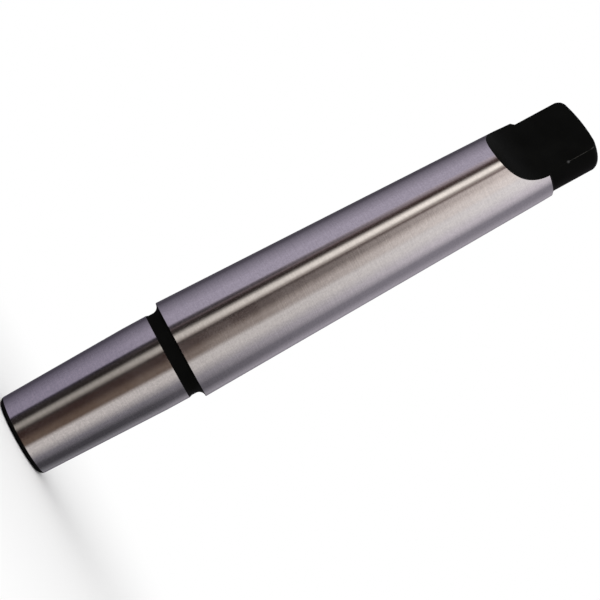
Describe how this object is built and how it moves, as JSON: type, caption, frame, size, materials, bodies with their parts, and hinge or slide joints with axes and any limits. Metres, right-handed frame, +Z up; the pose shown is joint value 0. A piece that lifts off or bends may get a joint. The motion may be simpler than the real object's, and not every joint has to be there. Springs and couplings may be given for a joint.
{
  "type": "drill chuck arbor",
  "caption": "Solid steel arbor with a short chuck taper, a relief groove, a Morse taper shank and a flat-sided driving tang.",
  "frame": {"origin": "centre of the flat end face of the chuck taper, which the arbor stands on", "axes": "+Z up the arbor's axis towards the tang; the two tang flats face +Y and -Y; X runs across the tang's width"},
  "size_m": [0.018, 0.018, 0.1102],
  "materials": {
    "arbor_steel": "hardened alloy steel, ground bright on both tapers and the land, left black from heat treatment on the tang, its run-outs, the relief groove and the chuck-end corner and face"
  },
  "bodies": {
    "root": {"arbor": "arbor_steel"}
  },
  "joints": []
}
